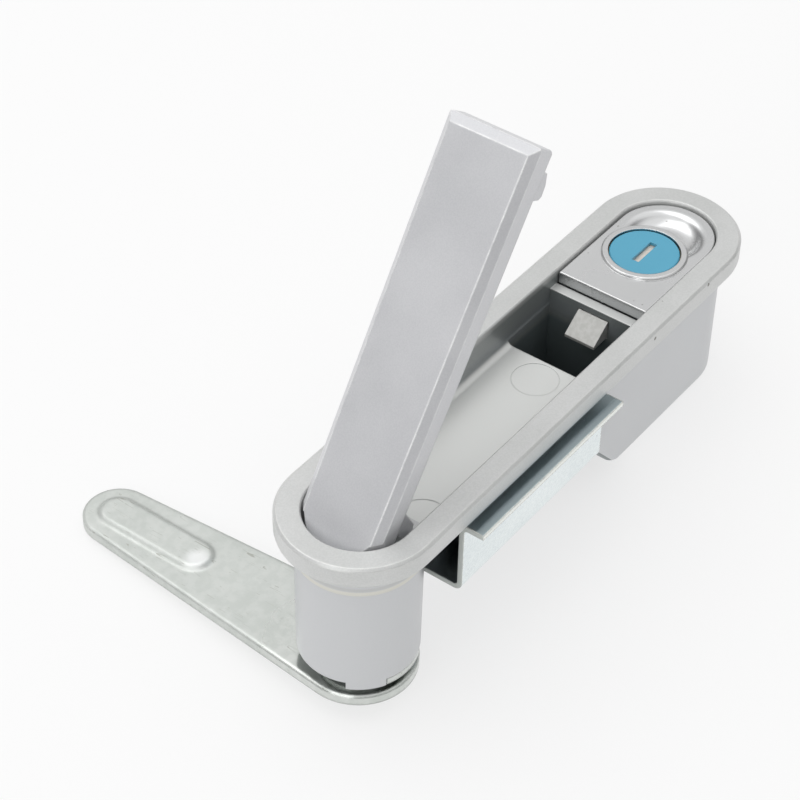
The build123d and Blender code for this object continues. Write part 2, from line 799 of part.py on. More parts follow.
plate_bottom = button_sunk + button_plate
wedge_low = latch_shank_depth + wedge_size
with BuildPart() as push_button:
    with BuildSketch(Plane.XY.offset(at(button_sunk))):
        with Locations((axis_spacing, 0)):
            Circle(button_half)
        with Locations(((button_x + axis_spacing) / 2, 0)):
            Rectangle(axis_spacing - button_x, 2 * button_half)
    extrude(amount=-button_plate)
    chamfer(push_button.edges().group_by(Axis.Z)[-1], button_edge_break)
    # thumb scoop behind the key cylinder
    scoop_low = at(button_sunk + scoop_depth)
    scoop_floor_edge = scoop_radius - scoop_depth / tan(radians(scoop_slope_deg))
    with BuildSketch(Plane.XZ):
        with BuildLine():
            Polyline(
                (axis_spacing, at(button_sunk)),
                (axis_spacing + scoop_radius, at(button_sunk)),
                (axis_spacing + scoop_floor_edge, scoop_low),
                (axis_spacing, scoop_low),
                close=True,
            )
        make_face()
    revolve(axis=Axis((axis_spacing, 0, 0), (0, 0, 1)), mode=Mode.SUBTRACT)
    circles = push_button.edges().filter_by(GeomType.CIRCLE)
    fillet(circles.filter_by(lambda e: abs(e.radius - scoop_floor_edge) < 1e-3), scoop_floor_radius)
    circles = push_button.edges().filter_by(GeomType.CIRCLE)
    fillet(circles.filter_by(lambda e: abs(e.radius - scoop_radius) < 1e-3), scoop_lip_radius)
    # collar round the key cylinder and the hub below it
    with BuildSketch(Plane.XY.offset(at(collar_sunk))):
        with Locations((cylinder_x, 0)):
            Circle(collar_outer)
    extrude(amount=-(6.5 - collar_sunk))
    chamfer(push_button.edges().group_by(Axis.Z)[-1], 0.3)
    with BuildSketch(Plane.XY.offset(at(6.5))):
        with Locations((cylinder_x, 0)):
            Circle(shell_radius + 0.8)
    extrude(amount=-(hub_depth - 6.5))
    # the two wedges that drive the latch back
    for side in (-1, 1):
        with BuildSketch(Plane.XZ.offset(-side * latch_y)):
            with BuildLine():
                Polyline(
                    (button_x, at(plate_bottom - 0.5)),
                    (button_x, at(wedge_low - wedge_gap)),
                    (button_x + wedge_size, at(wedge_low - wedge_size - wedge_gap)),
                    (button_x + wedge_size, at(plate_bottom - 0.5)),
                    close=True,
                )
            make_face()
        extrude(amount=latch_arm_width / 2 - 0.2, both=True)
    # spring spigots
    with BuildSketch(Plane.XY.offset(at(plate_bottom))):
        with Locations((spring_x, spring_y), (spring_x, -spring_y)):
            Circle(1.3)
    extrude(amount=-2.0)
    # bore for the key cylinder
    with BuildSketch(Plane.XY.offset(at(0))):
        with Locations((cylinder_x, 0)):
            Circle(collar_inner)
    extrude(amount=-(shell_top + shell_head), mode=Mode.SUBTRACT)
    with BuildSketch(Plane.XY.offset(at(shell_top))):
        with Locations((cylinder_x, 0)):
            Circle(shell_radius + 0.05)
    extrude(amount=-20, mode=Mode.SUBTRACT)
write(push_button.part, "push_button")

groove_depth = web_bottom + clip_gap
with BuildPart() as cylinder_shell:
    with BuildSketch(Plane.XY.offset(at(shell_top))):
        with Locations((cylinder_x, 0)):
            Circle(collar_inner - 0.05)
    extrude(amount=-shell_head + 0.05)
    with BuildSketch(Plane.XY.offset(at(shell_top))):
        with Locations((cylinder_x, 0)):
            Circle(shell_radius)
    extrude(amount=-(shell_end_depth - shell_top))
    with BuildSketch(Plane.XY.offset(at(groove_depth))):
        with Locations((cylinder_x, 0)):
            Circle(shell_radius + 1)
            Circle(shell_radius - 0.6, mode=Mode.SUBTRACT)
    extrude(amount=-(clip_thickness + 0.1), mode=Mode.SUBTRACT)
    with BuildSketch(Plane.XY.offset(at(shell_top))):
        with Locations((cylinder_x, 0)):
            Circle(plug_radius + turning_clearance)
    extrude(amount=-30, mode=Mode.SUBTRACT)
write(cylinder_shell.part, "cylinder_shell")

with BuildPart() as cylinder_nut:
    with BuildSketch(Plane.XY.offset(at(hub_depth + 0.05))):
        with Locations((cylinder_x, 0)):
            RegularPolygon(shell_radius + 0.85, 8)
            Circle(shell_radius + 0.05, mode=Mode.SUBTRACT)
    extrude(amount=-nut_thickness)
write(cylinder_nut.part, "cylinder_nut")

with BuildPart() as retaining_clip:
    with BuildSketch(Plane.XY.offset(at(groove_depth + 0.05))):
        with Locations((cylinder_x, 0)):
            Circle(lower_cavity_half - 0.4)
            Circle(shell_radius - 0.5, mode=Mode.SUBTRACT)
        with Locations((cylinder_x + lower_cavity_half, 0)):
            Rectangle(lower_cavity_half, clip_opening, mode=Mode.SUBTRACT)
    extrude(amount=-clip_thickness)
write(retaining_clip.part, "retaining_clip")

head_top = cap_sunk + cap_thickness
plug_end = shell_end_depth + 0.25
wafer_depths = [wafer_first + wafer_pitch * i for i in range(wafer_count)]
with BuildPart() as cylinder_plug:
    with BuildSketch(Plane.XY.offset(at(head_top))):
        with Locations((cylinder_x, 0)):
            Circle(cap_radius - 0.15)
    extrude(amount=-plug_head_thickness)
    with BuildSketch(Plane.XY.offset(at(head_top))):
        with Locations((cylinder_x, 0)):
            Circle(plug_radius)
    extrude(amount=-(plug_end - head_top))
    # keyway, wider just below the face for the shutter
    with BuildSketch(Plane.XY.offset(at(head_top))):
        with Locations((cylinder_x, 0)):
            Rectangle(keyway_length + 0.3, keyway_width + 0.3)
    extrude(amount=-3.2, mode=Mode.SUBTRACT)
    with BuildSketch(Plane.XY.offset(at(head_top))):
        with Locations((cylinder_x, 0)):
            Rectangle(keyway_length, keyway_width)
    extrude(amount=-21.0, mode=Mode.SUBTRACT)
    # slots across the plug for the wafers
    for depth in wafer_depths:
        with BuildSketch(Plane.XY.offset(at(depth - 0.05))):
            with Locations((cylinder_x, 0)):
                Rectangle(2 * plug_radius + 1, wafer_width + 0.2)
        extrude(amount=-(wafer_thickness + 0.1), mode=Mode.SUBTRACT)
    # square tenon for the tail
    with BuildSketch(Plane.XY.offset(at(plug_end))):
        with Locations((cylinder_x, 0)):
            Rectangle(2 * tenon_half, 2 * tenon_half)
    extrude(amount=-tail_thickness)
    with BuildSketch(Plane.XY.offset(at(plug_end + tail_thickness))):
        with Locations((cylinder_x, 0)):
            Circle(tail_screw_radius + thread_clearance)
    extrude(amount=4.0, mode=Mode.SUBTRACT)
write(cylinder_plug.part, "cylinder_plug")

with BuildPart() as wafer_tumblers:
    for depth in wafer_depths:
        with BuildSketch(Plane.XY.offset(at(depth))):
            with Locations((cylinder_x, 0)):
                Rectangle(2 * plug_radius - 1.6, wafer_width)
                Rectangle(keyway_length + 0.4, keyway_width + 0.5, mode=Mode.SUBTRACT)
        extrude(amount=-wafer_thickness)
write(wafer_tumblers.part, "wafer_tumblers")

with BuildPart() as key_cap:
    with BuildSketch(Plane.XY.offset(at(cap_sunk))):
        with Locations((cylinder_x, 0)):
            Circle(cap_radius)
            Rectangle(keyway_length, keyway_width, mode=Mode.SUBTRACT)
    extrude(amount=-cap_thickness)
    chamfer(key_cap.edges().group_by(Axis.Z)[-1].sort_by(SortBy.LENGTH)[-1], 0.25)
write(key_cap.part, "key_cap")

shutter_z = at(head_top + shutter_gap + shutter_thickness / 2)
shutter_y = -(keyway_width + 0.3) / 2 + 0.25
with BuildPart() as keyway_shutter:
    with BuildSketch(Plane.XY.offset(shutter_z - shutter_thickness / 2)):
        with Locations((cylinder_x, 0.02)):
            Rectangle(keyway_length + 0.1, keyway_width + 0.1)
    extrude(amount=shutter_thickness)
    fillet(keyway_shutter.edges().filter_by(Axis.X).group_by(Axis.Y)[0], 0.19)
write(keyway_shutter.part, "keyway_shutter")

with BuildPart() as plug_tail:
    with BuildSketch(Plane.XY.offset(at(plug_end + 0.05))):
        with Locations((cylinder_x, 0)):
            Circle(tail_hub_radius)
        with Locations((cylinder_x - tail_reach / 2, 0)):
            Rectangle(tail_reach, tail_width)
        with Locations((cylinder_x, 0)):
            Rectangle(2 * tenon_half + 0.1, 2 * tenon_half + 0.1, mode=Mode.SUBTRACT)
    extrude(amount=-tail_thickness)
    fillet(plug_tail.edges().filter_by(Axis.Z).group_by(Axis.X)[0], 1.0)
write(plug_tail.part, "plug_tail")

tail_screw_z = at(plug_end + tail_thickness + 0.1)
with BuildPart() as tail_screw:
    with BuildSketch(Plane.XY.offset(tail_screw_z)):
        with Locations((cylinder_x, 0)):
            Circle(4.2)
    extrude(amount=-1.6)
    fillet(tail_screw.edges().group_by(Axis.Z)[0], 0.8)
    with BuildSketch(Plane.XY.offset(tail_screw_z)):
        with Locations((cylinder_x, 0)):
            Circle(tail_screw_radius)
    extrude(amount=3.4)
    with BuildSketch(Plane.XY.offset(tail_screw_z - 1.6)):
        with Locations((cylinder_x, 0)):
            Rectangle(4.0, 0.9)
            Rectangle(0.9, 4.0)
    extrude(amount=0.9, mode=Mode.SUBTRACT)
write(tail_screw.part, "tail_screw")

# ---- Latch -------------------------------------------------------------------------------------

latch_front = button_x
nose_x = end_wall_x - latch_reach
with BuildPart() as latch_bolt:
    # nose with its ramp, and the shank through the window
    with BuildSketch(Plane.XZ):
        with BuildLine():
            Polyline(
                (nose_x, at(latch_tip_depth)),
                (end_wall_x, at(latch_top_depth)),
                (end_wall_x + 0.1, at(latch_shank_depth)),
                (latch_front + 1, at(latch_shank_depth)),
                (latch_front + 1, at(latch_under_depth)),
                (nose_x, at(latch_under_depth)),
                close=True,
            )
        make_face()
    extrude(amount=latch_nose_half, both=True)
    # cross bar
    with BuildSketch(Plane.XZ):
        with BuildLine():
            Polyline(
                (latch_front, at(latch_shank_depth)),
                (latch_front + latch_bar_length, at(latch_shank_depth)),
                (latch_front + latch_bar_length, at(latch_bar_depth)),
                (latch_front, at(latch_bar_depth)),
                close=True,
            )
        make_face()
    extrude(amount=latch_arm_half - latch_arm_width + 0.1, both=True)
    # arms at both ends, sloped where the button's wedges bear
    for side in (-1, 1):
        with BuildSketch(Plane.XZ.offset(-side * latch_y)):
            with BuildLine():
                Polyline(
                    (latch_front, at(wedge_low)),
                    (latch_front + wedge_size, at(wedge_low - wedge_size)),
                    (latch_front + latch_arm_length, at(wedge_low - wedge_size)),
                    (latch_front + latch_arm_length, at(latch_bar_depth)),
                    (latch_front, at(latch_bar_depth)),
                    close=True,
                )
            make_face()
        extrude(amount=latch_arm_width / 2, both=True)
write(latch_bolt.part, "latch_bolt")

latch_spring_start = latch_front + latch_arm_length
latch_coils = [
    coil(
        (latch_spring_start, side * (latch_y + 0.35), at(latch_spring_depth)),
        (1, 0, 0),
        spring_stop_x - latch_spring_start,
        latch_spring,
    )
    for side in (-1, 1)
]
write(Compound(latch_coils), "latch_springs")

return_coils = [
    coil((spring_x, side * spring_y, at(web_depth)), (0, 0, 1), web_depth - plate_bottom, return_spring)
    for side in (-1, 1)
]
write(Compound(return_coils), "button_springs")

# ---- Housing cover -----------------------------------------------------------------------------

with BuildPart() as housing_cover:
    with BuildSketch(Plane.XY.offset(at(housing_depth))):
        with Locations((axis_spacing, 0)):
            Circle(lower_cavity_half + cover_ledge - cover_clearance)
        start = cavity_x + 0.7 + cover_clearance
        with Locations(((start + axis_spacing) / 2, 0)):
            Rectangle(axis_spacing - start, 2 * (lower_cavity_half + cover_ledge - cover_clearance))
    extrude(amount=cover_thickness)
    with Locations(*[Location((x, 0, at(housing_depth)), (180, 0, 0)) for x in cover_screw_x]):
        CounterSinkHole(cover_screw_radius + 0.15, cover_screw_head_radius + 0.05, cover_thickness)
write(housing_cover.part, "housing_cover")

with BuildPart() as cover_screws:
    for x in cover_screw_x:
        with BuildSketch(Plane.XZ):
            with BuildLine():
                Polyline(
                    (x, at(housing_depth)),
                    (x + cover_screw_head_radius - 0.1, at(housing_depth)),
                    (x + cover_screw_radius, at(housing_depth) + cover_screw_head_radius - cover_screw_radius),
                    (x + cover_screw_radius, at(housing_depth) + cover_screw_length),
                    (x, at(housing_depth) + cover_screw_length),
                    close=True,
                )
            make_face()
        revolve(axis=Axis((x, 0, 0), (0, 0, 1)))
        with BuildSketch(Plane.XY.offset(at(housing_depth))):
            with Locations((x, 0)):
                Rectangle(2.6, 0.6)
                Rectangle(0.6, 2.6)
        extrude(amount=0.9, mode=Mode.SUBTRACT)
write(cover_screws.part, "cover_screws")

# ---- Clamp bracket -----------------------------------------------------------------------------

web_inner = body_half + clamp_side_gap
web_outer = web_inner + clamp_sheet
lip_top = flange_thickness + clamp_lip_gap
lip_end = web_outer + clamp_lip_reach
with BuildPart() as clamp_bracket:
    with BuildSketch(Plane.YZ.offset(clamp_start)):
        with BuildLine() as spine:
            FilletPolyline(
                (-lip_end, at(lip_top + clamp_sheet / 2)),
                (-web_inner - clamp_sheet / 2, at(lip_top + clamp_sheet / 2)),
                (-web_inner - clamp_sheet / 2, at(clamp_depth - clamp_sheet / 2)),
                (web_inner + clamp_sheet / 2, at(clamp_depth - clamp_sheet / 2)),
                (web_inner + clamp_sheet / 2, at(lip_top + clamp_sheet / 2)),
                (lip_end, at(lip_top + clamp_sheet / 2)),
                radius=clamp_bend,
            )
        trace(line_width=clamp_sheet)
    extrude(amount=housing_front - clamp_end_gap - clamp_start)
    with BuildSketch(Plane.XY.offset(at(clamp_depth))):
        with Locations(*post_places):
            SlotCenterToCenter(2.0, 2 * clamp_screw_radius + 0.6)
    extrude(amount=clamp_sheet, mode=Mode.SUBTRACT)
write(clamp_bracket.part, "clamp_bracket")

with BuildPart() as clamp_washers:
    with BuildSketch(Plane.XY.offset(at(clamp_depth))):
        with Locations(*post_places):
            Circle(clamp_screw_head_radius + 0.8)
            Circle(clamp_screw_radius + 0.15, mode=Mode.SUBTRACT)
    extrude(amount=-clamp_washer_thickness)
write(clamp_washers.part, "clamp_washers")

clamp_head_z = at(clamp_depth + clamp_washer_thickness)
with BuildPart() as clamp_screws:
    for x, y in post_places:
        with BuildSketch(Plane.XY.offset(clamp_head_z)):
            with Locations((x, y)):
                Circle(clamp_screw_head_radius)
        extrude(amount=-clamp_screw_head_height)
    fillet(clamp_screws.edges().group_by(Axis.Z)[0], 1.2)
    with BuildSketch(Plane.XY.offset(clamp_head_z)):
        with Locations(*post_places):
            Circle(clamp_screw_radius)
    extrude(amount=clamp_screw_length)
    with BuildSketch(Plane.XY.offset(clamp_head_z - clamp_screw_head_height)):
        with Locations(*post_places):
            Rectangle(4.6, 1.0)
            Rectangle(1.0, 4.6)
    extrude(amount=1.5, mode=Mode.SUBTRACT)
write(clamp_screws.part, "clamp_screws")
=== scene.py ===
import math

import bpy
from mathutils import Matrix, Vector


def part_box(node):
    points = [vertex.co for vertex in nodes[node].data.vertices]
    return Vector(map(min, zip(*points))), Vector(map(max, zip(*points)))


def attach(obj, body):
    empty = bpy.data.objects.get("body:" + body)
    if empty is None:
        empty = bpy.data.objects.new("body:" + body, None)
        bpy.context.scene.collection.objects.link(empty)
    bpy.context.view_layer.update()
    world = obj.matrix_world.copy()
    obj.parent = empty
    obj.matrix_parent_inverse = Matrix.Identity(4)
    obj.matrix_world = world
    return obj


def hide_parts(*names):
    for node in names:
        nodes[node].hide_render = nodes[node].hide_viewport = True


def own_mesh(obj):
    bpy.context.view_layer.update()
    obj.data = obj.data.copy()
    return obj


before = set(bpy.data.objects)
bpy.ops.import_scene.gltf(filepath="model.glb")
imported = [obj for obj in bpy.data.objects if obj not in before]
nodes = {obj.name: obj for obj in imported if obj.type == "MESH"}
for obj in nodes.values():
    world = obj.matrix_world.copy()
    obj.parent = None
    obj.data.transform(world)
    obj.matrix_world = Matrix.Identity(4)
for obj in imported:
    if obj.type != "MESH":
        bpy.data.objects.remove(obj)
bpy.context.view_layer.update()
scene = bpy.context.scene
scene.view_settings.view_transform = "Standard"
print("frame loaded")

# Helpers for shader and geometry trees.

socketKinds = {"value": "NodeSocketFloat", "colour": "NodeSocketColor", "vector": "NodeSocketVector",
               "count": "NodeSocketInt", "material": "NodeSocketMaterial", "geometry": "NodeSocketGeometry"}


def newGroup(name, ins, outs, kind="ShaderNodeTree"):
    group = bpy.data.node_groups.new(name, kind)
    for direction, sockets in (("INPUT", ins), ("OUTPUT", outs)):
        for socketName, socketKind in sockets:
            group.interface.new_socket(socketName, in_out=direction, socket_type=socketKinds[socketKind])
    return group, group.nodes.new("NodeGroupInput").outputs, group.nodes.new("NodeGroupOutput").inputs


def feed(tree, socket, value):
    if isinstance(value, bpy.types.NodeSocket):
        tree.links.new(value, socket)
    else:
        socket.default_value = value


def addNode(tree, kind, settings=None, sockets=None):
    node = tree.nodes.new(kind)
    for key, value in (settings or {}).items():
        setattr(node, key, value)
    for key, value in (sockets or {}).items():
        feed(tree, node.inputs[key], value)
    return node


def calc(tree, operation, a, b=0.0, clamp=False):
    return addNode(tree, "ShaderNodeMath", {"operation": operation, "use_clamp": clamp}, {0: a, 1: b}).outputs[0]


def multiply(tree, first, *others):
    product = first
    for other in others:
        product = calc(tree, "MULTIPLY", product, other)
    return product


def spread(tree, value, low, high, toLow=0.0, toHigh=1.0, fade="SMOOTHSTEP"):
    sockets = {"Value": value, "From Min": low, "From Max": high, "To Min": toLow, "To Max": toHigh}
    return addNode(tree, "ShaderNodeMapRange", {"interpolation_type": fade}, sockets).outputs[0]


def noise(tree, vector, scale, detail, roughness=0.5):
    sockets = {"Vector": vector, "Scale": scale, "Detail": detail, "Roughness": roughness}
    return addNode(tree, "ShaderNodeTexNoise", None, sockets).outputs[0]


def xyzParts(tree, vector):
    return addNode(tree, "ShaderNodeSeparateXYZ", None, {0: vector}).outputs


def surfaceNormal(tree):
    return addNode(tree, "ShaderNodeNewGeometry").outputs["Normal"]


def paint(tree, under, share, tint):
    sockets = {0: share, 6: under, 7: (*tint, 1)}
    return addNode(tree, "ShaderNodeMix", {"data_type": "RGBA"}, sockets).outputs[2]


# Camera, floor and light.

camera = {
    "lens": 108.7,
    "sensor": 36.0,
    "azimuth": -53.9,
    "elevation": 41.87,
    "roll": 1.28,
    "distance": 0.5029,
    "target": (0.03478, 0.01615, -0.0003),
    "clip": (0.01, 20.0),
}

floor = {
    "screwFoot": (0.0, 0.0, -0.0436),  # the lock rests on its cam screw, the cam's tip and the housing
    "slopeX": 0.085,
    "slopeY": 0.064,
    "size": 6.0,
    "colour": (0.26, 0.26, 0.26),
    "roughness": 0.9,
    "glow": 0.68,  # the pale surface is lit from below as well, so shadows stay faint
}

studio = {
    "skyOverhead": 1.0,
    "skyHorizon": 0.20,
    "backdrop": 0.94,  # what shows beyond the edge of the floor
    "skyFade": (0.15, 0.85),  # sine of the height above the horizon between which it brightens
    "softboxes": [
        {"name": "overhead", "at": (-0.1, 0.5, 1.3), "size": 1.4, "watts": 5.6},
        {"name": "left", "at": (-1.2, -0.2, 0.6), "size": 0.9, "watts": 3.5},
    ],
}


def placeCamera():
    azimuth, elevation, roll = (math.radians(camera[key]) for key in ("azimuth", "elevation", "roll"))
    level = math.cos(elevation)
    back = Vector((math.sin(azimuth) * level, -math.cos(azimuth) * level, math.sin(elevation)))
    right = Vector((math.cos(azimuth), math.sin(azimuth), 0.0))
    up = back.cross(right)
    turnedRight = right * math.cos(roll) + up * math.sin(roll)
    turnedUp = up * math.cos(roll) - right * math.sin(roll)
    data = bpy.data.cameras.new("camera")
    data.lens = camera["lens"]
    data.sensor_width = camera["sensor"]
    data.clip_start, data.clip_end = camera["clip"]
    obj = bpy.data.objects.new("camera", data)
    scene.collection.objects.link(obj)
    turn = Matrix((turnedRight, turnedUp, back)).transposed().to_4x4()
    obj.matrix_world = Matrix.Translation(Vector(camera["target"]) + back * camera["distance"]) @ turn
    scene.camera = obj


def hangSky():
    world = bpy.data.worlds.new("studio")
    world.use_nodes = True
    tree = world.node_tree
    direction = addNode(tree, "ShaderNodeTexCoord").outputs["Generated"]
    height = xyzParts(tree, direction)[2]
    rise = spread(tree, height, *studio["skyFade"], studio["skyHorizon"], studio["skyOverhead"])
    direct = addNode(tree, "ShaderNodeLightPath").outputs["Is Camera Ray"]
    seen = addNode(tree, "ShaderNodeMix", None, {"Factor": direct, "A": rise, "B": studio["backdrop"]})
    background = tree.nodes["Background"].inputs
    feed(tree, background["Color"], (1.0, 1.0, 1.0, 1.0))
    feed(tree, background["Strength"], seen.outputs["Result"])
    scene.world = world


def placeSoftboxes():
    for box in studio["softboxes"]:
        data = bpy.data.lights.new(box["name"], "AREA")
        data.size = box["size"]
        data.energy = box["watts"]
        obj = bpy.data.objects.new(box["name"], data)
        scene.collection.objects.link(obj)
        aim = Vector(box["at"]) - Vector(camera["target"])
        obj.matrix_world = Matrix.Translation(box["at"]) @ aim.to_track_quat("Z", "Y").to_matrix().to_4x4()


def layFloor():
    half = floor["size"] / 2
    fx, fy, fz = floor["screwFoot"]
    corners = [(sx * half, sy * half) for sx, sy in ((-1, -1), (1, -1), (1, 1), (-1, 1))]
    points = [(x, y, fz + (x - fx) * floor["slopeX"] + (y - fy) * floor["slopeY"]) for x, y in corners]
    mesh = bpy.data.meshes.new("floor")
    mesh.from_pydata(points, [], [(0, 1, 2, 3)])
    obj = bpy.data.objects.new("floor", mesh)
    scene.collection.objects.link(obj)
    material = bpy.data.materials.new("paleFloor")
    material.use_nodes = True
    shader = material.node_tree.nodes["Principled BSDF"]
    shader.inputs["Base Color"].default_value = (*floor["colour"], 1)
    shader.inputs["Roughness"].default_value = floor["roughness"]
    shader.inputs["Emission Color"].default_value = (1, 1, 1, 1)
    shader.inputs["Emission Strength"].default_value = floor["glow"]
    mesh.materials.append(material)


placeCamera()
hangSky()
placeSoftboxes()
layFloor()
print("camera, floor and light placed")

# Cast or plated skin: a soft cloud, a fine grain and a few round pits.

skin = {"cloudScale": 55.0, "cloudDetail": 4.0, "cloudRange": (0.3, 0.7),
        "grainDetail": 2.0, "grainRoughness": 0.6, "pitSizes": (0.05, 0.22), "pitLip": 0.06, "pitDepth": 2.5}


def makeCastSkin():
    ins = [("Vector", "vector"), ("Grain Scale", "value"), ("Pit Scale", "value"), ("Pit Share", "value")]
    group, given, result = newGroup("castSkin", ins, [("Cloud", "value"), ("Pits", "value"), ("Height", "value")])
    cloud = noise(group, given["Vector"], skin["cloudScale"], skin["cloudDetail"])
    grain = noise(group, given["Vector"], given["Grain Scale"], skin["grainDetail"], skin["grainRoughness"])
    cells = addNode(group, "ShaderNodeTexVoronoi", None, {"Vector": given["Vector"], "Scale": given["Pit Scale"]})
    lot = addNode(group, "ShaderNodeSeparateColor", None, {"Color": cells.outputs["Color"]}).outputs
    chosen = calc(group, "LESS_THAN", lot[0], given["Pit Share"])
    depth = calc(group, "SUBTRACT", spread(group, lot[1], 0.0, 1.0, *skin["pitSizes"]), cells.outputs["Distance"])
    pits = multiply(group, spread(group, depth, 0.0, skin["pitLip"]), chosen)
    group.links.new(spread(group, cloud, *skin["cloudRange"]), result["Cloud"])
    group.links.new(pits, result["Pits"])
    group.links.new(calc(group, "SUBTRACT", grain, multiply(group, pits, skin["pitDepth"])), result["Height"])
    return group


# Worn edges with a painted highlight: a mask where the surface turns sharply, broken up by noise, and weaker on
# what faces down since the highlight stands for light from above.

wear = {"bevelSamples": 6, "scale": 420.0, "detail": 3.0, "range": (0.28, 0.62), "leastShare": 0.35,
        "facing": (-0.2, 0.6), "shareBelow": 0.3}


def makeSoftEdge():
    ins = [("Radius", "value"), ("Turn", "value"), ("Vector", "vector")]
    group, given, result = newGroup("softEdge", ins, [("Edge", "value"), ("Normal", "vector")])
    bevel = addNode(group, "ShaderNodeBevel", {"samples": wear["bevelSamples"]}, {"Radius": given["Radius"]})
    rounded = bevel.outputs[0]
    facing = addNode(group, "ShaderNodeVectorMath", {"operation": "DOT_PRODUCT"},
                     {0: rounded, 1: surfaceNormal(group)})
    turned = spread(group, calc(group, "SUBTRACT", 1.0, facing.outputs["Value"]), 0.0, given["Turn"])
    rubbedAndGlint = noise(group, given["Vector"], wear["scale"], wear["detail"])
    share = spread(group, rubbedAndGlint, *wear["range"], wear["leastShare"], 1.0)
    # Painted highlight: edges facing up get the full share, edges facing down less.
    upward = spread(group, xyzParts(group, rounded)[2], *wear["facing"], wear["shareBelow"], 1.0)
    group.links.new(multiply(group, turned, share, upward), result["Edge"])
    group.links.new(rounded, result["Normal"])
    return group


# Fine scratches: the middle lines of noise that is stretched in a few directions, kept only in patches.

scratch = {"turnsAndStretches": ((0.35, 0.06), (1.75, 0.045), (2.6, 0.09)), "detail": 1.0, "width": 0.012,
           "patchScale": 160.0, "patchScaleByTurn": 90.0}


def makeScratches():
    ins = [("Vector", "vector"), ("Fineness", "value"), ("Share", "value")]
    group, given, result = newGroup("scratches", ins, [("Marks", "value")])
    marks = None
    for turn, stretch in scratch["turnsAndStretches"]:
        turned = addNode(group, "ShaderNodeMapping", None,
                         {"Vector": given["Vector"], "Rotation": (0.0, 0.0, turn), "Scale": (1.0, stretch, 1.0)})
        lines = noise(group, turned.outputs[0], given["Fineness"], scratch["detail"])
        offset = calc(group, "ABSOLUTE", calc(group, "SUBTRACT", lines, 0.5))
        line = calc(group, "SUBTRACT", 1.0, spread(group, offset, 0.0, scratch["width"]))
        patchScale = scratch["patchScale"] + scratch["patchScaleByTurn"] * turn
        patch = noise(group, given["Vector"], patchScale, scratch["detail"])
        line = multiply(group, line, calc(group, "GREATER_THAN", given["Share"], patch))
        marks = line if marks is None else calc(group, "MAXIMUM", marks, line)
    group.links.new(marks, result["Marks"])
    return group


# Painted shade on the walls of the tray, on the wall before the button and down the latch pocket; the tray floor
# gets its own grey.

shade = {"uprightRange": (0.35, 0.8), "sharpRim": 700.0, "sharpPocket": 400.0, "wallShareAtStart": 0.30}


def makeRecessShade():
    ins = [("Vector", "vector"), ("Tray Start", "value"), ("Tray End", "value"), ("Half Width", "value"),
           ("Rim", "value"), ("Pocket Start", "value"), ("Pocket End", "value"), ("Pocket Top", "value")]
    outs = [("Walls", "value"), ("Floor", "value"), ("Pocket", "value")]
    group, given, result = newGroup("recessShade", ins, outs)
    lengthwise, across, height = xyzParts(group, given["Vector"])
    lean = calc(group, "ABSOLUTE", xyzParts(group, surfaceNormal(group))[2])
    upright = spread(group, lean, *shade["uprightRange"], 1.0, 0.0)
    between = calc(group, "LESS_THAN", calc(group, "ABSOLUTE", across), given["Half Width"])

    def along(start, end):
        after = calc(group, "GREATER_THAN", lengthwise, given[start])
        before = calc(group, "LESS_THAN", lengthwise, given[end])
        return multiply(group, after, before, between)

    def below(top, sharpness):
        return calc(group, "MULTIPLY", calc(group, "SUBTRACT", given[top], height), sharpness, True)

    sunk = below("Rim", shade["sharpRim"])
    darkening = spread(group, lengthwise, given["Tray Start"], given["Tray End"], shade["wallShareAtStart"], 1.0)
    walls = multiply(group, upright, sunk, darkening, along("Tray Start", "Tray End"))
    level = multiply(group, calc(group, "SUBTRACT", 1.0, upright), sunk, along("Tray Start", "Tray End"))
    pocket = multiply(group, below("Pocket Top", shade["sharpPocket"]), along("Pocket Start", "Pocket End"))
    group.links.new(walls, result["Walls"])
    group.links.new(level, result["Floor"])
    group.links.new(pocket, result["Pocket"])
    return group


castSkin = makeCastSkin()
softEdge = makeSoftEdge()
scratches = makeScratches()
recessShade = makeRecessShade()
print("shader groups made")

# Finishes: one dictionary for each, beside the nodes that wear it.

finishMix = {"grainRange": (0.35, 0.65), "grainShare": 0.45, "cloudShare": 0.55, "scratchRoughness": 0.12,
             "pitShare": 0.85, "edgeTurn": 0.14, "acrossFade": 0.0002, "cutRange": (0.7, 0.9),
             "coatRoughness": 0.2}


def useGroup(tree, group, sockets):
    return addNode(tree, "ShaderNodeGroup", {"node_tree": group}, sockets).outputs


def nearUpright(tree, place, spot):
    # How near a point is, seen from above, to an upright line: full share inside the radius, none past the end.
    flat = addNode(tree, "ShaderNodeVectorMath", {"operation": "MULTIPLY"}, {0: place, 1: (1.0, 1.0, 0.0)})
    apart = addNode(tree, "ShaderNodeVectorMath", {"operation": "DISTANCE"},
                    {0: flat.outputs[0], 1: (*spot["at"], 0.0)})
    return spread(tree, apart.outputs["Value"], spot["radius"], spot["end"], spot["share"], 0.0)


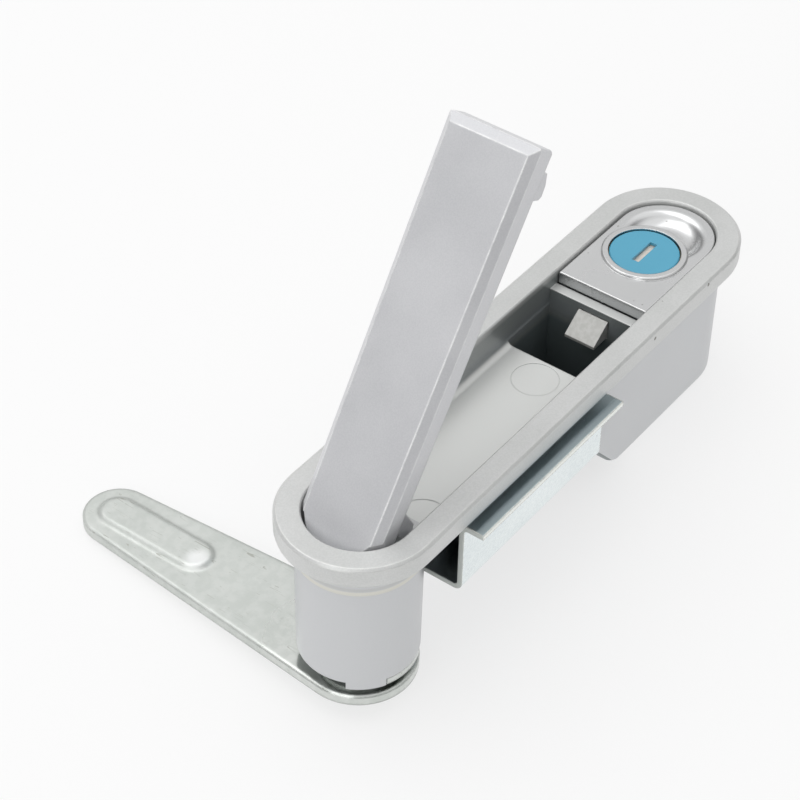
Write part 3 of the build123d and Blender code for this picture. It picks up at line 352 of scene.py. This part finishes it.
def makeFinish(name, look):
    material = bpy.data.materials.new(name)
    material.use_nodes = True
    tree = material.node_tree
    shader = tree.nodes["Principled BSDF"]
    place = addNode(tree, "ShaderNodeTexCoord").outputs["Object"]
    across, height = xyzParts(tree, place)[1:]
    surface = useGroup(tree, castSkin, {"Vector": place, "Grain Scale": look["grainScale"],
                                        "Pit Scale": look["pitScale"], "Pit Share": look["pitShare"]})
    edge = useGroup(tree, softEdge, {"Vector": place, "Radius": look["edgeRadius"],
                                     "Turn": look.get("edgeTurn", finishMix["edgeTurn"])})
    grain = multiply(tree, spread(tree, surface["Height"], *finishMix["grainRange"]), finishMix["grainShare"])
    mottle = calc(tree, "ADD", multiply(tree, surface["Cloud"], finishMix["cloudShare"]), grain)
    colour = paint(tree, (*look["colour"], 1), mottle, look["cloud"])
    roughness = spread(tree, surface["Cloud"], 0.0, 1.0, *look["roughness"])
    if "scratchColour" in look:
        marks = useGroup(tree, scratches, {"Vector": place, "Fineness": look["scratchFineness"],
                                           "Share": look["scratchShare"]})["Marks"]
        colour = paint(tree, colour, marks, look["scratchColour"])
        roughness = calc(tree, "ADD", roughness, multiply(tree, marks, finishMix["scratchRoughness"]))
    # Bands at set heights: painted shade and painted highlight lines.
    for tint, share, middle, half, soft in look.get("shadeAndHighlightBands", ()):
        away = calc(tree, "ABSOLUTE", calc(tree, "SUBTRACT", height, middle))
        colour = paint(tree, colour, spread(tree, away, half, half + soft, share, 0.0), tint)
    # Worn edges with a painted highlight, lightest on edges that face up.
    colour = paint(tree, colour, multiply(tree, edge["Edge"], look["edgeShare"]), look["edgeWearAndHighlightColour"])
    colour = paint(tree, colour, multiply(tree, surface["Pits"], finishMix["pitShare"]), look["pitColour"])
    for tint, within, beyond, half in look.get("across", ()):
        aside = calc(tree, "ABSOLUTE", across)
        share = spread(tree, aside, half, half + finishMix["acrossFade"], within, beyond)
        colour = paint(tree, colour, share, tint)
    # Painted shade on the tray walls and in the latch pocket; the tray floor gets its own grey.
    if "recess" in look:
        recess = useGroup(tree, recessShade, {"Vector": place, **look["recess"]})
        colour = paint(tree, colour, recess["Floor"], look["floorColour"])
        colour = paint(tree, colour, multiply(tree, recess["Walls"], look["wallShadeShare"]), look["wallShadeColour"])
        if "pocketShadeColour" in look:
            colour = paint(tree, colour, recess["Pocket"], look["pocketShadeColour"])
    bare, metal = edge["Edge"], look["metallic"]
    if "cutEnds" in look:
        cut = spread(tree, calc(tree, "ABSOLUTE", xyzParts(tree, surfaceNormal(tree))[0]), *finishMix["cutRange"])
        colour = paint(tree, colour, cut, look["cutEnds"])
        bare = calc(tree, "MAXIMUM", bare, cut)
    if "edgeMetallic" in look:
        metal = spread(tree, bare, 0.0, 1.0, metal, look["edgeMetallic"])
    if "polish" in look:
        near = nearUpright(tree, place, look["polish"])
        roughness = spread(tree, near, 0.0, 1.0, roughness, look["polish"]["roughness"])
        metal = spread(tree, near, 0.0, 1.0, metal, look["polish"]["metallic"])
    # Painted glint: a near-white spot blended in around one upright line.
    if "rubbedAndGlint" in look:
        colour = paint(tree, colour, nearUpright(tree, place, look["rubbedAndGlint"]), look["rubbedAndGlint"]["colour"])
    bump = addNode(tree, "ShaderNodeBump", None, {"Strength": look["bump"], "Distance": look["bumpDepth"],
                                                  "Height": surface["Height"], "Normal": edge["Normal"]})
    values = {"Base Color": colour, "Roughness": roughness, "Metallic": metal, "Normal": bump.outputs[0],
              "Coat Weight": look.get("coat", 0.0),
              "Coat Roughness": look.get("coatRoughness", finishMix["coatRoughness"])}
    for socketName, value in values.items():
        feed(tree, shader.inputs[socketName], value)
    return material


def dress(look, name, *nodeNames):
    material = makeFinish(name, look)
    for nodeName in nodeNames:
        for holder in nodes[nodeName].material_slots:
            holder.material = material
    return material


castLook = {
    "colour": (0.58, 0.59, 0.58), "cloud": (0.675, 0.68, 0.675), "roughness": (0.30, 0.38), "metallic": 0.35,
    "grainScale": 2600.0, "bump": 0.25, "bumpDepth": 0.00006,
    "pitScale": 420.0, "pitShare": 0.02, "pitColour": (0.10, 0.09, 0.07),
    "edgeRadius": 0.00045, "edgeTurn": 0.08, "edgeShare": 0.75, "edgeWearAndHighlightColour": (0.88, 0.88, 0.86),
}
bodyLook = {
    **castLook,
    # Painted shade in the tray, on its end wall and down the latch pocket.
    "recess": {"Tray Start": 0.0115, "Tray End": 0.0866, "Half Width": 0.0121, "Rim": 0.0042,
               "Pocket Start": 0.0671, "Pocket End": 0.0834, "Pocket Top": -0.0046},
    "wallShadeColour": (0.10, 0.125, 0.13), "wallShadeShare": 0.72, "floorColour": (0.71, 0.72, 0.705),
    "pocketShadeColour": (0.14, 0.165, 0.17),
    # Painted shade: a darker, bluer body below the flange and a dark line under its edge; the cream line lower on
    # the boss is a painted highlight.
    "shadeAndHighlightBands": [((0.60, 0.61, 0.625), 0.85, -0.030, 0.0285, 0.0008),
              ((0.44, 0.44, 0.39), 0.3, -0.0047, 0.0002, 0.0004),
              ((0.80, 0.77, 0.64), 0.5, -0.0058, 0.0003, 0.0005)],
}
dress(bodyLook, "bodyCastGrey", "lock_body")

# The rotor is dark grey; the cam spacer wears the same finish as painted shade in the gap under the boss.
rotorLook = {**castLook, "colour": (0.15, 0.16, 0.158), "cloud": (0.21, 0.22, 0.217), "metallic": 0.6}
dress(rotorLook, "rotorDarkAndSpacerShade", "rotor", "cam_spacer")

handleLook = {
    "colour": (0.585, 0.59, 0.61), "cloud": (0.665, 0.668, 0.685), "roughness": (0.30, 0.38), "metallic": 0.25,
    "grainScale": 3200.0, "bump": 0.16, "bumpDepth": 0.00004,
    "pitScale": 190.0, "pitShare": 0.006, "pitColour": (0.20, 0.19, 0.19),
    "edgeRadius": 0.0005, "edgeTurn": 0.045, "edgeShare": 1.0, "edgeWearAndHighlightColour": (0.98, 0.98, 0.98),
    "coat": 0.15, "coatRoughness": 0.3,
}
dress(handleLook, "handleSatinPaint", "handle_lever")

buttonLook = {
    "colour": (0.66, 0.665, 0.67), "cloud": (0.74, 0.745, 0.745), "roughness": (0.25, 0.32), "metallic": 1.0,
    "grainScale": 5200.0, "bump": 0.3, "bumpDepth": 0.00003,
    "pitScale": 900.0, "pitShare": 0.08, "pitColour": (0.40, 0.39, 0.37),
    "edgeRadius": 0.00025, "edgeTurn": 0.08, "edgeShare": 0.8, "edgeWearAndHighlightColour": (0.95, 0.95, 0.94),
    # Painted shade on the lower part of the button's front face.
    "recess": {"Tray Start": 0.080, "Tray End": 0.0865, "Half Width": 0.0121, "Rim": 0.0041},
    "wallShadeColour": (0.22, 0.23, 0.24), "wallShadeShare": 0.5, "floorColour": (0.5, 0.5, 0.5),
}
dress(buttonLook, "buttonSatinChrome", "push_button")

latchLook = {
    "colour": (0.42, 0.42, 0.40), "cloud": (0.55, 0.55, 0.535), "roughness": (0.34, 0.44), "metallic": 0.3,
    "grainScale": 900.0, "bump": 0.2, "bumpDepth": 0.00006,
    "pitScale": 500.0, "pitShare": 0.02, "pitColour": (0.25, 0.24, 0.22),
    "edgeRadius": 0.0002, "edgeShare": 0.6, "edgeWearAndHighlightColour": (0.92, 0.92, 0.88),
}
dress(latchLook, "latchNickel", "latch_bolt")

# The cam is bright where the boss keeps it clean; a painted glint sits on the crown of its rib's near end.
camLook = {
    "colour": (0.57, 0.60, 0.57), "cloud": (0.68, 0.70, 0.675), "roughness": (0.34, 0.50), "metallic": 0.62,
    "grainScale": 420.0, "bump": 0.14, "bumpDepth": 0.00010,
    "pitScale": 520.0, "pitShare": 0.04, "pitColour": (0.30, 0.29, 0.25),
    "edgeRadius": 0.0011, "edgeTurn": 0.30, "edgeShare": 0.10, "edgeWearAndHighlightColour": (0.86, 0.87, 0.85),
    "scratchColour": (0.44, 0.45, 0.41), "scratchFineness": 700.0, "scratchShare": 0.35,
    "polish": {"at": (0.0, 0.0), "radius": 0.014, "end": 0.027, "share": 1.0, "roughness": 0.15, "metallic": 1.0},
    "rubbedAndGlint": {"at": (-0.0008, 0.0428), "radius": 0.0009, "end": 0.0040, "share": 0.75,
               "colour": (0.96, 0.97, 0.97)},
}
dress(camLook, "camZinc", "cam_arm", "cam_washer", "cam_screw", "stop_washer")

# The bracket's sheet carries painted shade on its inner side and on the top of its lips, a painted highlight along
# the lips' outer edges, and is bare where it was cut at both ends.
zincLook = {
    "colour": (0.75, 0.81, 0.82), "cloud": (0.87, 0.92, 0.92), "roughness": (0.12, 0.22), "metallic": 1.0,
    "grainScale": 1800.0, "bump": 0.25, "bumpDepth": 0.00005,
    "pitScale": 520.0, "pitShare": 0.008, "pitColour": (0.34, 0.35, 0.33),
    "edgeRadius": 0.0006, "edgeTurn": 0.08, "edgeShare": 1.0, "edgeWearAndHighlightColour": (0.93, 0.92, 0.84), "edgeMetallic": 0.2,
    "scratchColour": (0.60, 0.65, 0.67), "scratchFineness": 500.0, "scratchShare": 0.33,
}
bracketLook = {
    **zincLook,
    # Painted shade on the top of the lips, under the flange.
    "shadeAndHighlightBands": [((0.46, 0.55, 0.59), 0.85, -0.0024, 0.0005, 0.0004)],
    # Painted shade on the inner side; painted highlight along the lips' outer edges.
    "across": [((0.13, 0.16, 0.175), 0.8, 0.0, 0.0147), ((0.90, 0.91, 0.86), 0.0, 0.8, 0.01965)],
    "cutEnds": (0.60, 0.63, 0.60),
}
dress(bracketLook, "clampBrightZinc", "clamp_bracket")
dress(zincLook, "fastenerBrightZinc", "clamp_screws", "clamp_washers", "housing_cover", "cover_screws", "plug_tail",
      "tail_screw")

capLook = {
    "colour": (0.078, 0.365, 0.53), "cloud": (0.09, 0.39, 0.56), "roughness": (0.30, 0.38), "metallic": 0.0,
    "grainScale": 3500.0, "bump": 0.12, "bumpDepth": 0.00004,
    "pitScale": 700.0, "pitShare": 0.01, "pitColour": (0.06, 0.25, 0.38),
    "edgeRadius": 0.00015, "edgeShare": 0.35, "edgeWearAndHighlightColour": (0.35, 0.62, 0.75),
    "coat": 0.25, "coatRoughness": 0.22,
}
dress(capLook, "capBluePlastic", "key_cap")

shutterLook = {
    "colour": (0.74, 0.66, 0.58), "cloud": (0.80, 0.72, 0.65), "roughness": (0.30, 0.42), "metallic": 0.5,
    "grainScale": 4000.0, "bump": 0.2, "bumpDepth": 0.00003,
    "pitScale": 900.0, "pitShare": 0.02, "pitColour": (0.30, 0.25, 0.20),
    "edgeRadius": 0.0001, "edgeShare": 0.5, "edgeWearAndHighlightColour": (0.95, 0.90, 0.85),
}
dress(shutterLook, "shutterWarmSteel", "keyway_shutter")

brassLook = {
    "colour": (0.70, 0.53, 0.24), "cloud": (0.76, 0.60, 0.30), "roughness": (0.26, 0.40), "metallic": 1.0,
    "grainScale": 2400.0, "bump": 0.2, "bumpDepth": 0.00004,
    "pitScale": 600.0, "pitShare": 0.02, "pitColour": (0.30, 0.20, 0.08),
    "edgeRadius": 0.00015, "edgeShare": 0.5, "edgeWearAndHighlightColour": (0.90, 0.76, 0.46),
    "scratchColour": (0.85, 0.70, 0.40), "scratchFineness": 1100.0, "scratchShare": 0.45,
}
dress(brassLook, "cylinderBrass", "cylinder_shell", "cylinder_nut", "cylinder_plug", "wafer_tumblers")

springLook = {
    "colour": (0.42, 0.42, 0.43), "cloud": (0.52, 0.52, 0.52), "roughness": (0.22, 0.36), "metallic": 1.0,
    "grainScale": 3000.0, "bump": 0.15, "bumpDepth": 0.00003,
    "pitScale": 700.0, "pitShare": 0.02, "pitColour": (0.15, 0.13, 0.11),
    "edgeRadius": 0.0001, "edgeShare": 0.4, "edgeWearAndHighlightColour": (0.75, 0.75, 0.75),
    "scratchColour": (0.66, 0.66, 0.66), "scratchFineness": 1300.0, "scratchShare": 0.45,
}
springSteel = dress(springLook, "springSteel", "lift_spring", "latch_springs", "button_springs", "pivot_pin",
                    "lift_plunger", "retaining_clip")

washerLook = {
    "colour": (0.74, 0.72, 0.64), "cloud": (0.80, 0.78, 0.71), "roughness": (0.45, 0.58), "metallic": 0.0,
    "grainScale": 2200.0, "bump": 0.2, "bumpDepth": 0.00005,
    "pitScale": 500.0, "pitShare": 0.01, "pitColour": (0.45, 0.42, 0.35),
    "edgeRadius": 0.00015, "edgeShare": 0.3, "edgeWearAndHighlightColour": (0.88, 0.86, 0.80),
}
dress(washerLook, "frictionNylon", "friction_washer")

sealLook = {
    "colour": (0.018, 0.018, 0.018), "cloud": (0.028, 0.028, 0.028), "roughness": (0.5, 0.65), "metallic": 0.0,
    "grainScale": 2600.0, "bump": 0.3, "bumpDepth": 0.00005,
    "pitScale": 600.0, "pitShare": 0.02, "pitColour": (0.07, 0.07, 0.065),
    "edgeRadius": 0.0001, "edgeShare": 0.2, "edgeWearAndHighlightColour": (0.08, 0.08, 0.08),
}
dress(sealLook, "sealRubber", "rotor_oring")
print("finishes on")

# Coil springs with closed ends, in place of the open coils of the CAD nodes.

coilMesh = {"stepsATurn": 24, "wireSides": 8, "closedPitch": 2.04}  # pitch of the closed turns, in wire radii


def makeCoilTree():
    ins = [("Turns", "value"), ("Closed Turns", "value"), ("Coil Radius", "value"), ("Wire Radius", "value"),
           ("Length", "value"), ("Steps A Turn", "count"), ("Wire Sides", "count"), ("Springs", "count"),
           ("First", "vector"), ("To The Next", "vector"), ("Lie", "vector"), ("Finish", "material")]
    tree, given, result = newGroup("coilSpring", ins, [("Springs", "geometry")], "GeometryNodeTree")
    ring = addNode(tree, "GeometryNodeCurveSpiral", None,
                   {"Resolution": given["Steps A Turn"], "Rotations": given["Turns"], "Height": 0.0,
                    "Start Radius": given["Coil Radius"], "End Radius": given["Coil Radius"]})
    along = addNode(tree, "GeometryNodeSplineParameter").outputs["Factor"]
    closedShare = calc(tree, "DIVIDE", given["Closed Turns"], given["Turns"])
    openShare = calc(tree, "SUBTRACT", 1.0, closedShare)
    closedRise = multiply(tree, given["Closed Turns"], given["Wire Radius"], coilMesh["closedPitch"])
    openRise = calc(tree, "SUBTRACT", given["Length"], multiply(tree, closedRise, 2.0))
    height = calc(tree, "ADD", spread(tree, along, 0.0, closedShare, 0.0, closedRise, "LINEAR"),
                  spread(tree, along, closedShare, openShare, 0.0, openRise, "LINEAR"))
    height = calc(tree, "ADD", height, spread(tree, along, openShare, 1.0, 0.0, closedRise, "LINEAR"))
    lift = addNode(tree, "ShaderNodeCombineXYZ", None, {2: height})
    helix = addNode(tree, "GeometryNodeSetPosition", None, {"Geometry": ring.outputs[0], "Offset": lift.outputs[0]})
    section = addNode(tree, "GeometryNodeCurvePrimitiveCircle", None,
                      {"Resolution": given["Wire Sides"], "Radius": given["Wire Radius"]})
    wire = addNode(tree, "GeometryNodeCurveToMesh", None,
                   {"Curve": helix.outputs[0], "Profile Curve": section.outputs[0], "Fill Caps": True})
    places = addNode(tree, "GeometryNodeMeshLine", {"mode": "OFFSET"},
                     {"Count": given["Springs"], "Start Location": given["First"], "Offset": given["To The Next"]})
    lie = addNode(tree, "FunctionNodeEulerToRotation", None, {0: given["Lie"]})
    coils = addNode(tree, "GeometryNodeInstanceOnPoints", None,
                    {"Points": places.outputs[0], "Instance": wire.outputs[0], "Rotation": lie.outputs[0]})
    solid = addNode(tree, "GeometryNodeRealizeInstances", None, {0: coils.outputs[0]})
    finished = addNode(tree, "GeometryNodeSetMaterial", None,
                       {"Geometry": solid.outputs[0], "Material": given["Finish"]})
    tree.links.new(finished.outputs[0], result[0])
    return tree


coilTree = makeCoilTree()

liftSpring = {"node": "lift_spring", "body": "rotor", "joint": "plunger_slide", "lies": "z", "fixedEnd": "low",
              "springs": 1, "turns": 7.5, "closedTurns": 1.0, "wire": 0.0003, "travel": 0.00328}
returnSprings = {"node": "button_springs", "body": "lock_body", "joint": "button_press", "lies": "z",
                 "fixedEnd": "low", "springs": 2, "turns": 9.5, "closedTurns": 1.25, "wire": 0.0003,
                 "travel": 0.0026}
latchSprings = {"node": "latch_springs", "body": "lock_body", "joint": "latch_slide", "lies": "x",
                "fixedEnd": "high", "springs": 2, "turns": 12.5, "closedTurns": 1.25, "wire": 0.00022,
                "travel": 0.0026}


def windSprings(work):
    # A pair stands side by side along y and fills its node's box, so the box gives both the radius and the gap.
    low, high = (Vector(corner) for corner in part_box(work["node"]))
    lengthAxis = "xyz".index(work["lies"])
    acrossAxis = 2 - lengthAxis
    length = high[lengthAxis] - low[lengthAxis]
    outer = (high[acrossAxis] - low[acrossAxis]) / 2
    first = (low + high) / 2
    first[1] = low[1] + outer
    first[lengthAxis] = low[lengthAxis] + work["wire"]
    gap = high[1] - low[1] - 2 * outer
    values = {"Turns": work["turns"], "Closed Turns": work["closedTurns"], "Coil Radius": outer - work["wire"],
              "Wire Radius": work["wire"], "Length": length - 2 * work["wire"],
              "Steps A Turn": coilMesh["stepsATurn"], "Wire Sides": coilMesh["wireSides"],
              "Springs": work["springs"], "First": tuple(first), "To The Next": (0.0, gap, 0.0),
              "Lie": (0.0, math.pi / 2 if work["lies"] == "x" else 0.0, 0.0), "Finish": springSteel}
    coil = bpy.data.objects.new(work["node"] + "_wound", bpy.data.meshes.new(work["node"] + "_wound"))
    scene.collection.objects.link(coil)
    maker = coil.modifiers.new("coilSpring", "NODES")
    maker.node_group = coilTree
    for item in coilTree.interface.items_tree:
        if item.in_out == "INPUT":
            maker[item.identifier] = values[item.name]
    evaluated = coil.evaluated_get(bpy.context.evaluated_depsgraph_get())
    coil.data = bpy.data.meshes.new_from_object(evaluated)
    coil.modifiers.clear()
    coil.data.materials.clear()
    coil.data.materials.append(springSteel)
    coil.data.polygons.foreach_set("material_index", [0] * len(coil.data.polygons))
    coil.data.shade_smooth()
    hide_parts(work["node"])
    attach(coil, work["body"])
    direction = Vector((0.0, 0.0, 0.0))
    direction[lengthAxis] = 1.0
    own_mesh(coil)
    print(work["node"], "wound:", len(coil.data.vertices), "points")


windSprings(liftSpring)
windSprings(returnSprings)
windSprings(latchSprings)
print("springs wound")
